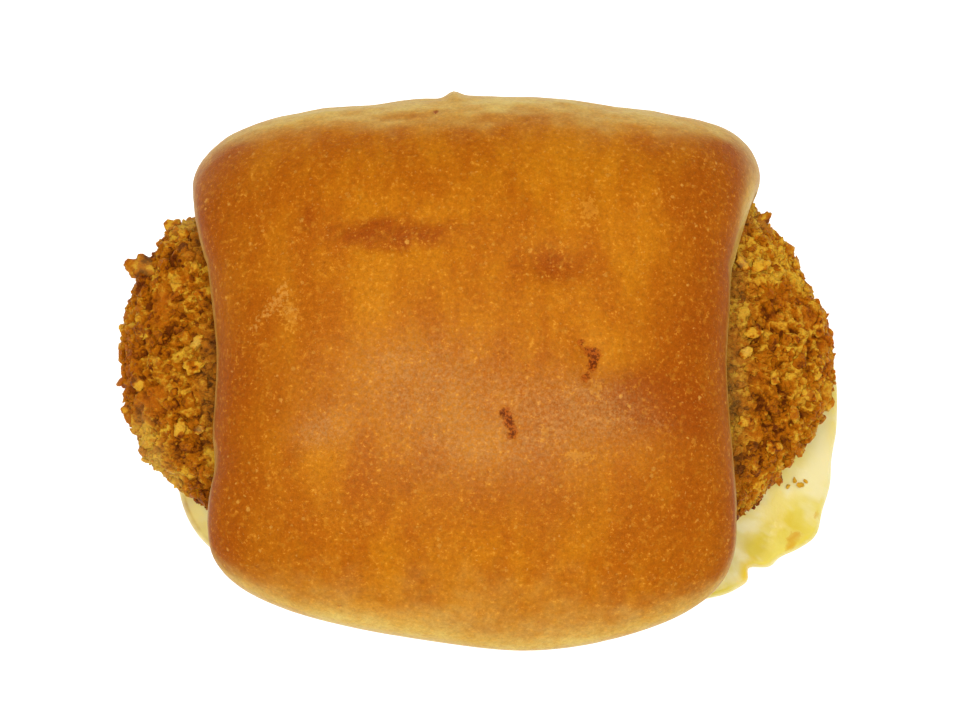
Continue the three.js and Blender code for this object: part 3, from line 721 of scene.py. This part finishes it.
# %% Shapes of crumb
def flake_shape(shape, rng, sides, thickness):
    """A thin curled plate about 1 mm long, with a torn outline."""
    start, width, curl = rng.uniform(0, 6), rng.uniform(0.55, 0.95), rng.uniform(-0.5, 0.6)
    reach = [rng.uniform(0.36, 0.54) for _ in range(sides)]
    rings = []
    for share, level in ((rng.uniform(0.5, 0.7), -0.9), (1, 0), (rng.uniform(0.6, 0.8), 0.8)):
        ring = []
        for index in range(sides):
            angle = start + (index + rng.uniform(-0.3, 0.3)) * 2 * math.pi / sides
            radius = reach[index] * share * rng.uniform(0.85, 1.15)
            height = thickness * (level * rng.uniform(0.5, 1.4) + rng.uniform(-0.3, 0.3))
            across = radius * math.cos(angle)
            upward = height + curl * across**2
            ring.append(shape.verts.new((across, width * radius * math.sin(angle), upward)))
        rings.append(ring)
    low = shape.verts.new((0, 0, -thickness * rng.uniform(0.6, 1.1)))
    tip = [rng.uniform(-0.1, 0.1), rng.uniform(-0.1, 0.1), thickness * rng.uniform(0.7, 1.5)]
    high = shape.verts.new(tip)
    for index in range(sides):
        after = (index + 1) % sides
        shape.faces.new((low, rings[0][after], rings[0][index]))
        for below, above in zip(rings, rings[1:]):
            shape.faces.new((below[index], below[after], above[after]))
            shape.faces.new((below[index], above[after], above[index]))
        shape.faces.new((high, rings[2][index], rings[2][after]))


KNOBBLY = 0.62  # how far a lump is pushed in and out


def lump_shape(shape, rng, subdivisions, thickness):
    """A knobbly lump about 1 mm long."""
    width, shift = rng.uniform(0.6, 0.95), Vector((rng.uniform(0, 99), 0, 0))
    bmesh.ops.create_icosphere(shape, subdivisions=subdivisions, radius=0.45)
    for vertex in shape.verts:
        ray = vertex.co.normalized()
        vertex.co *= 1 + KNOBBLY * noise.fractal(ray * 1.7 + shift, 1, 2, 3)
        vertex.co.y *= width
        vertex.co.z *= thickness


def crumb_shapes(kind, make, count, detail, thickness, seed):
    rng = random.Random(seed)
    shapes = bpy.data.collections.new(kind + "_shapes")
    for index in range(count):
        shape = bmesh.new()
        make(shape, rng, detail, thickness)
        bmesh.ops.scale(shape, vec=(MM, MM, MM), verts=shape.verts)
        mesh = bpy.data.meshes.new(f"{kind}_{index}")
        shape.to_mesh(mesh)
        shape.free()
        shapes.objects.link(bpy.data.objects.new(mesh.name, mesh))
    print(kind, "shapes:", count, "with", len(mesh.polygons), "faces each")
    return shapes


large = crumb_shapes("large", flake_shape, 14, 10, 0.14, seed=3)
small = crumb_shapes("small", lump_shape, 14, 2, 0.6, seed=4)
fine_ones = crumb_shapes("fine", lump_shape, 10, 1, 0.7, seed=5)

# %% [markdown]
# ## Scattering
# Thousands of crumbs can't be laid by hand, so one Geometry Nodes tree does it: it spreads
# points over the body where it needs crumbs, turns and sizes each one by chance, and picks
# a shape. It stores the tone of each crumb and its height over the body, which the finish
# reads. The tree runs three times, for large flakes, small crumbs and fine ones.

# %% The scattering tree
SETTINGS = {"Spacing": "Float", "Crumbs per area": "Float", "Smallest": "Float", "Largest": "Float",
            "Lean": "Float", "Sink": "Float", "Seed": "Int", "Shapes": "Collection", "Finish": "Material"}
TONE_SEED = 77


def random_value(tree, least, most, seed, kind="FLOAT"):
    first = 0 if kind == "FLOAT_VECTOR" else 2
    inputs = {first: least, first + 1: most, "Seed": seed}
    made = add_node(tree, "FunctionNodeRandomValue", inputs, data_type=kind)
    return made.outputs[0 if kind == "FLOAT_VECTOR" else 1]


scatter = bpy.data.node_groups.new("scatter_crumbs", "GeometryNodeTree")
scatter.interface.new_socket("Surface", in_out="INPUT", socket_type="NodeSocketGeometry")
for name, kind in SETTINGS.items():
    scatter.interface.new_socket(name, in_out="INPUT", socket_type="NodeSocket" + kind)
scatter.interface.new_socket("Crumbs", in_out="OUTPUT", socket_type="NodeSocketGeometry")
given, result = scatter.nodes.new("NodeGroupInput").outputs, scatter.nodes.new("NodeGroupOutput")

wanted = add_node(scatter, "GeometryNodeInputNamedAttribute", {"Name": "crumbed"}, data_type="FLOAT")
points = add_node(scatter, "GeometryNodeDistributePointsOnFaces", {
    "Mesh": given["Surface"], "Distance Min": given["Spacing"], "Density Max": given["Crumbs per area"],
    "Density Factor": wanted.outputs["Attribute"], "Seed": given["Seed"]}, distribute_method="POISSON")
down = {0: points.outputs["Normal"], "Scale": times(given["Sink"], -1)}
down = add_node(scatter, "ShaderNodeVectorMath", down, operation="SCALE")
sunk = add_node(scatter, "GeometryNodeSetPosition", {"Geometry": points, "Offset": down})

lean, back = given["Lean"], times(given["Lean"], -1)
least = add_node(scatter, "ShaderNodeCombineXYZ", {"X": back, "Y": back, "Z": 0})
most = add_node(scatter, "ShaderNodeCombineXYZ", {"X": lean, "Y": lean, "Z": 2 * math.pi})
turn = random_value(scatter, least, most, given["Seed"], "FLOAT_VECTOR")
turn = add_node(scatter, "FunctionNodeEulerToRotation", {"Euler": turn})
turned = add_node(scatter, "FunctionNodeRotateRotation", {
    "Rotation": points.outputs["Rotation"], "Rotate By": turn}, rotation_space="LOCAL")

shapes = add_node(scatter, "GeometryNodeCollectionInfo", {
    "Collection": given["Shapes"], "Separate Children": True})
laid = add_node(scatter, "GeometryNodeInstanceOnPoints", {
    "Points": sunk, "Instance": shapes, "Pick Instance": True, "Rotation": turned,
    "Scale": random_value(scatter, given["Smallest"], given["Largest"], given["Seed"])})
toned = add_node(scatter, "GeometryNodeStoreNamedAttribute", {
    "Geometry": laid, "Name": "tone", "Value": random_value(scatter, 0, 1, TONE_SEED)},
    data_type="FLOAT", domain="INSTANCE")
real = add_node(scatter, "GeometryNodeRealizeInstances", {"Geometry": toned})
depth = add_node(scatter, "GeometryNodeProximity", {0: given["Surface"]}, target_element="FACES")
lifted = add_node(scatter, "GeometryNodeStoreNamedAttribute", {
    "Geometry": real, "Name": "lift", "Value": depth.outputs["Distance"]},
    data_type="FLOAT", domain="POINT")
finished = add_node(scatter, "GeometryNodeSetMaterial", {"Geometry": lifted, "Material": given["Finish"]})
scatter.links.new(finished.outputs[0], result.inputs["Crumbs"])
print("scattering tree:", len(scatter.nodes), "nodes")

# %% [markdown]
# ## Fried crumb
# Fried crumb is gold on its raised edges and dark brown down between the flakes. Each flake
# has a tone of its own, stored as it was scattered, and its height over the body is stored
# too, so the finish paints shade on what lies deep between the flakes.

# %% Fried crumb
fried, tree, shader = new_finish("fried_crumb", {
    "Roughness": 0.6, "Specular IOR Level": 0.12, "Specular Tint": (1, 0.8, 0.5, 1),
    "Subsurface Weight": 0.35, "Subsurface Radius": (1, 0.55, 0.15), "Subsurface Scale": 1.2 * MM})
place = object_place(tree)
fry = maths("ADD", times(stored(tree, "tone"), 0.55), times(stored(tree, "golden"), 0.6))
for grains, share in ((380, 1.6), (1100, 1.2)):
    uneven = maths("SUBTRACT", noise_at(place, grains, 3, 0.65), 0.5)
    fry = maths("ADD", fry, times(uneven, share))
# Painted shade: crumbs that lie less than 0.5 mm over the body are darkened.
low = ramp(stored(tree, "lift"), 0.5 * MM, 0)
fry = maths("SUBTRACT", fry, times(low, 0.2))
gold = mix_colour(ramp(fry, -0.1, 0.45), colour(112, 46, 0), colour(194, 108, 0))
gold = mix_colour(ramp(fry, 0.45, 1), gold, colour(240, 180, 46))
gold = painted(gold, [
    # the olive layer is painted shade of the roll
    (stored(tree, "orange"), 0.6, (196, 100, 2)), (stored(tree, "olive"), 0.45, (168, 130, 56)),
    (stored(tree, "whitish"), 0.7, (236, 194, 96))])
grain = use_group(tree, grain_group, {"Grains per metre": 1300, "Roughness": 0.75, "Contrast": 1.6})["Grain"]
set_surface(shader, gold, grain, 1, 0.45 * MM)
croquette_body.data.materials.append(fried)

# %% Scatter the crumbs
def scattered(name, surface, values):
    """The crumbs that the tree lays over a surface, as a plain mesh."""
    carrier = new_object(name + "_carrier", surface.data)
    modifier = carrier.modifiers.new("scatter", "NODES")
    modifier.node_group = scatter
    for item in scatter.interface.items_tree:
        if item.in_out == "INPUT" and item.name in values:
            modifier[item.identifier] = values[item.name]
    ready = carrier.evaluated_get(bpy.context.evaluated_depsgraph_get())
    mesh = bpy.data.meshes.new_from_object(ready)
    mesh.name = name
    carrier.modifiers.remove(modifier)
    bpy.data.objects.remove(carrier)
    print(name, "has", len(mesh.polygons), "triangles")
    return new_object(name, mesh)


CRUMBS = {  # the settings of the tree, in their order
    "large_flakes": (2.8 * MM, 8e4, 1.8, 3.4, 0.4, 0.1 * MM, 11, large, fried),
    "small_crumbs": (1.5 * MM, 3.6e5, 1.2, 3.0, 0.8, 0.3 * MM, 12, small, fried),
    "fine_crumbs": (0.8 * MM, 9e5, 0.5, 1.2, 1.2, 0.0, 13, fine_ones, fried)}
crumbs = [scattered(name, croquette_body, dict(zip(SETTINGS, row))) for name, row in CRUMBS.items()]

# %% Flakes that stand out
FLAKE_ROWS, FLAKE_COLUMNS = 18, 49


def shown_flake(name, middle, size, turn, lean, whitish, gilt, seed):
    """One big ragged flake about its middle: a thick oval skin with a torn outline."""
    around = np.linspace(0, 2 * math.pi, FLAKE_COLUMNS)[:-1]
    rise = np.linspace(-math.pi / 2, math.pi / 2, FLAKE_ROWS)[1:-1][:, None]
    torn = fractal(np.stack([np.cos(around), np.sin(around), 0 * around], 1), 0.8, 3, seed)
    reach = (0.5 + 0.13 * torn)[None, :] * np.cos(rise) ** 0.75
    flat = np.stack(np.broadcast_arrays(
        reach * np.cos(around), 0.64 * reach * np.sin(around), 0.2 * np.sin(rise)), -1)
    flat = flat * (1 + 0.3 * fractal(flat, 0.3, 3, seed + 1))[..., None]
    flat[..., 2] += 0.3 * flat[..., 0] ** 2
    c, s = math.cos(turn), math.sin(turn)
    tilt = np.array([[math.cos(lean), 0, math.sin(lean)], [0, 1, 0], [-math.sin(lean), 0, math.cos(lean)]])
    rings = size * flat @ tilt.T @ np.array([[c, -s, 0], [s, c, 0], [0, 0, 1]]).T + middle
    inner = smooth(1.2 - 2.6 * np.hypot(flat[..., 0], flat[..., 1]))
    mottle = fractal(flat, 0.4, 3, seed + 2)
    return skin_object(
        name, rings, tone=gilt + mottle, golden=unit(gilt + 0.8 * mottle),
        orange=0.4 * (1 - inner) * max(0, 1.3 - gilt), whitish=whitish * inner,
        lift=(0.5 + 0.4 * mottle) * MM)


def joined(name, flakes):
    """One piece made of many flakes, with the finish of fried crumb."""
    with bpy.context.temp_override(active_object=flakes[0], selected_editable_objects=flakes):
        bpy.ops.object.join()
    flakes[0].name = flakes[0].data.name = name
    flakes[0].data.materials.append(fried)
    return flakes[0]


STANDING = [  # middle in mm, length, turn, lean, how whitish, how golden
    (-49.8, 15.6, 28.6, 6.2, 2.93, 0, 0.2, 0.35), (-45.2, 21.4, 28.4, 4.4, 2.5, -0.2, 0.2, 0.6),
    (-43.6, 19.4, 31.5, 3.4, 1.9, -0.3, 0, 0.4), (-51.6, -5.5, 28.4, 3.2, 3.6, 0.1, 0.1, 0.3),
    (-49.2, -10.3, 27.6, 3, 4, 0.1, 0.3, 0.8), (-46.6, -13.6, 26.6, 3, 4.2, 0.1, 0.4, 0.9),
    (48, -10.9, 27.6, 3.2, -0.6, 0.1, 0.1, 0.5), (44.7, -15.6, 26.6, 3, -0.9, 0.1, 0.1, 0.5),
    (51.2, 6.4, 30.2, 3, 1.4, 0.2, 0, 0.4), (42.2, 14.9, 34.1, 3, 0.4, 0.1, 0, 0.8),
    (39.6, 15, 34.7, 2.4, 2.2, 0.1, 0.5, 0.5), (-41.4, 2.9, 35.3, 2.6, 1, 0.1, 0.6, 0.6),
    (-43.7, -9.8, 33.9, 3, 1.4, 0.1, 0.1, 0.7), (-40.8, -9.9, 34.6, 2, 0.3, 0.1, 0.5, 0.6),
    (-41.8, -0.6, 35.5, 3.4, 0.2, 0.15, 0, 0.8), (39.8, 1.6, 35.6, 2.4, 0.7, 0.1, 0.6, 0.8),
    (40.8, 4.4, 35.7, 2.6, 0.1, 0.1, 0, 0.7), (50.4, -1, 31.2, 2.8, 1.1, 0.4, 0, 0.8),
    (47, 4, 33.2, 2.4, 2.6, 0.3, 0, 0.4), (43, 23, 28.2, 3, 0.8, 0.2, 0.1, 0.5),
    (40.2, 25, 28.2, 3, 1.9, 0.1, 0.2, 0.6), (44.1, -2.1, 34.2, 2.2, 1.6, 0.2, 0.1, 0.6),
    (49.2, -4.3, 31.9, 2.6, 2.6, 0.3, 0.1, 0.6), (44, -12.1, 32.5, 2.8, 0.3, 0.3, 0, 0.5),
    (39.7, -8.7, 34.5, 2.4, 0.1, 0.2, 0.1, 0.6), (-40.2, 10.6, 34.7, 3.2, 3.1, 0.1, 0, 0.6),
    (-44.3, 11.5, 33.5, 2.6, 2.4, 0.3, 0, 0.5), (-49.5, 5, 32.1, 2.6, 3, 0.3, 0.1, 0.6),
    (-50.3, -2.4, 31.5, 3, 2.2, 0.3, 0.1, 0.5)]
standing_flakes = joined("standing_flakes", [
    shown_flake(f"standing_{n}", np.array((x, y, z)), *looks, n)
    for n, (x, y, z, *looks) in enumerate(STANDING)])
print("standing flakes:", len(STANDING))
for piece in (croquette_body, *crumbs, standing_flakes):
    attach(piece, "root")
    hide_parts("croquette")

# %% [markdown]
# ## The egg sheet
# The egg is a thin, soft sheet. Where the roll holds it, it is flat, and its free ends hang
# down a little and ripple. It is one closed skin over rings that run from the middle of its
# underside, round its edge, to the middle of its top. Its outline has a notch and two small
# lobes at the front right, and a soft crease runs to the notch.

# %% Form of the egg
EGG = SimpleNamespace(
    half_length=51.4, front_depth=32.8, back_depth=27.5, middle_x=4.3, middle_y=-3.8, plan=2.6,
    ragged=0.8, ripple=0.7, droop=2.6, held=36, crease=(45, -22, 0.45), crease_depth=0.22,
    thick=4.2, bottom=12.85)
EGG_ROWS, EGG_RIM_ROWS, EGG_COLUMNS = 74, 13, 561
EGG_LOBES = [(-29, 0.026, 5.5), (-39, -0.012, 3), (-45.8, -0.044, 2.3), (-55, 0.01, 4), (-8, -0.012, 5)]


def line_across(x, y, line_x, line_y, slant, half_width):
    """A soft slanting line through a point: 1 at its middle."""
    return np.exp(-(((x - line_x - slant * (y - line_y)) / half_width) ** 2))


def egg_middle_z(x, y):
    free = unit((np.abs(x) - EGG.held) / 18)
    ripple = EGG.ripple * smooth(free * 1.6) * lumps(x, y, 0, 17, 0.9)
    up_the_fold = unit((y + 2 - FOLD.start) / (FOLD.inside - FOLD.start))
    lift = (LID_BOTTOM - BASE_THICK) / 2 * (1 - arch(up_the_fold, 1.9))
    crease = EGG.crease_depth * line_across(x, y, *EGG.crease, 0.9) * smooth(free * 3)
    return EGG.bottom + EGG.thick / 2 + lift - EGG.droop * free**1.5 + ripple - crease


def egg_ring(share, side):
    angle = np.linspace(-math.pi, math.pi, EGG_COLUMNS)[:-1]
    outline = 1 + EGG.ragged / EGG.front_depth * lumps(9 * np.cos(angle), 9 * np.sin(angle), 0, 5.5, 3)
    outline = outline + outline_bumps(EGG_LOBES, angle)
    depth = np.where(np.sin(angle) < 0, EGG.front_depth, EGG.back_depth)
    reach = share * outline
    x = EGG.middle_x + EGG.half_length * reach * signed_power(np.cos(angle), 2 / EGG.plan)
    y = EGG.middle_y + depth * reach * signed_power(np.sin(angle), 2 / EGG.plan)
    thick = EGG.thick * mix(1, 0.72, min(share, 1) ** 6)
    return np.stack([x, y, egg_middle_z(x, y) + side * thick / 2], 1)


def egg_rings(count):
    """Rings over the underside, round the rim and back over the top."""
    inward = 0.98 - 0.945 * (np.linspace(0, 1, count) ** 0.85)
    turn = np.linspace(-math.pi / 2, math.pi / 2, EGG_RIM_ROWS)[1:-1]
    under = [egg_ring(share, -1) for share in inward[::-1]]
    rim = [egg_ring(0.98 + 0.02 * math.cos(a), math.sin(a)) for a in turn]
    over = [egg_ring(share, 1) for share in inward]
    return np.array(under + rim + over), np.concatenate([inward[::-1], np.full(len(turn), 1), inward])


egg_skin, egg_share = egg_rings(EGG_ROWS)
print("egg grid:", egg_skin.shape)

# %% Relief of the egg
x, y = np.moveaxis(egg_skin, 2, 0)[:2]
free = smooth((np.abs(x) - 35) / 3)
bubbly = fractal(egg_skin * (1, 1, 0), 5, 3, seed=21)
blotchy = fractal(egg_skin * (1, 1, 0), 2.5, 3, seed=22)
egg_top = np.zeros_like(x)
egg_top[egg_skin.shape[0] // 2:] = 1
fold_line = line_across(x, y, 45, -22, 0.45, 0.3) * smooth((-20 - y) / 3)
second_line = line_across(x, y, 43.4, -24.5, 0.5, 0.25) * smooth((-22 - y) / 2)
relief = (0.14 * bubbly - 0.07 * fold_line - 0.05 * second_line) * free * egg_top
egg_skin = egg_skin + relief[..., None] * (0, 0, 1)
print("relief of the egg, mm:", relief.min().round(2), "to", relief.max().round(2))

# %% Where the egg is whitish, yolky or browned, and where sheen and light are painted on
# Painted sheen and light: whitish spots at the right end, along the crease and beside the crumbs, where the
# highlight and light against the croquette's shade are painted into the colour.
PAINTED_SHEEN_AND_LIGHT = [(53, -9.5, 2.6, 7), (50.5, -14.5, 4, 2.2, 0.9, 0.5), (42.5, -21, 4, 2, 0.5, 0.5),
           (46, -24, 4, 2.4, -0.5, 0.6), (39.6, -27, 1.2, 3.5, 0.8)]
BROWNED = [(48.2, -24, 0.9, 2.2, 1, -0.5), (51.6, -20, 0.9, 1, 0.8)]
YOLKY = (41.1, -29.2, 0.9, 1.6)
left_end = smooth((-x - 34) / 4)
# whitish: painted sheen at the listed spots and along the crease, painted light at the left end, and whiter
# veils where the egg is blotchy.
whitish = spots(x, y, PAINTED_SHEEN_AND_LIGHT) + 0.2 * left_end + 0.5 * fold_line + 0.5 * smooth(blotchy / 0.6)
stain = spot(x, y, *BROWNED[0], power=3) * (0.9 + 0.9 * blotchy) + spot(x, y, *BROWNED[1])
along = np.abs(x / CROQUETTE.half_length) ** CROQUETTE.plan
across = np.abs((y - CROQUETTE.middle_y) / CROQUETTE.half_depth) ** CROQUETTE.plan
from_croquette = (along + across) ** (1 / CROQUETTE.plan)  # 1 under the croquette's rim
# Painted light: the egg is lightened where the croquette and the roll shade it, beside the croquette and at
# the left end.
painted_light_by_croquette = smooth((1.12 - from_croquette) / 0.14) * smooth((x - 34) / 3)
rim = smooth((egg_share[:, None] - 0.965) / 0.035) * smooth((-x - 30) / 6) * (0.7 + 0.6 * blotchy)
egg = skin_object(
    "fried_egg_sheet", egg_skin, stain=unit(stain), yolky=spot(x, y, *YOLKY),
    whitish=unit(whitish), light=np.maximum(left_end, 0.7 * painted_light_by_croquette),
    rim=unit(rim))

# %% [markdown]
# ## Moist egg
# Fried egg is smooth, moist and a little see-through: light goes in, scatters in yellow and
# comes out soft. Subsurface scattering gives that. Whiter veils, yolk-yellow patches and a
# few browned stains break up the colour, and painted sheen and painted light brighten it
# where its highlight lies and where the croquette shades it.

# %% Fried egg
moist, tree, shader = new_finish("fried_egg", {
    "Roughness": 0.34, "Specular IOR Level": 0.3, "Subsurface Weight": 0.5,
    "Subsurface Radius": (1, 0.8, 0.3), "Subsurface Scale": 2.5 * MM})
veils = ramp(noise_at(object_place(tree), 130, 3), 0.35, 0.65)
stain = stored(tree, "stain")
yolk = painted(mix_colour(veils, colour(236, 208, 60), colour(244, 224, 100)), [
    # painted light against the shade of the croquette and the roll
    (stored(tree, "light"), 1, (266, 244, 136)),
    # whitish: whiter veils, with painted sheen and painted light
    (stored(tree, "whitish"), 0.8, (258, 247, 192)),
    (stored(tree, "yolky"), 1, (255, 214, 20)),
    (times(ragged(stain, 900, 1.8), stain), 0.85, (230, 172, 4)),
    (stored(tree, "rim"), 0.8, (190, 140, 52)),
])
grain = use_group(tree, grain_group, {"Grains per metre": 700, "Roughness": 0.6, "Contrast": 1})["Grain"]
set_surface(shader, yolk, grain, 0.3, 0.2 * MM)
egg.data.materials.append(moist)
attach(egg, "root")
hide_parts("egg_sheet")

# %% [markdown]
# ## Loose crumbs
# A few crumbs have dropped off the croquette on to the egg. They are made like the flakes
# that stand out, only smaller, and each one is laid on the height of the egg at its place.

# %% Loose crumbs
LOOSE = [  # x, y and length in mm
    (49.5, -15.5, 1.2), (50.3, -14.9, 0.8), (48.6, -14.8, 0.9), (47.5, -15.8, 0.8)]


def on_the_egg(x, y, size):
    return np.array((x, y, float(egg_middle_z(x, y)) + EGG.thick / 2 - 0.02 * size))


loose_crumbs = joined("loose_crumbs", [
    shown_flake(f"loose_{n}", on_the_egg(x, y, size), size, 2.4 * n, 0.1, 0, 1.5, 40 + n)
    for n, (x, y, size) in enumerate(LOOSE)])
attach(loose_crumbs, "root")
print("loose crumbs:", len(LOOSE))
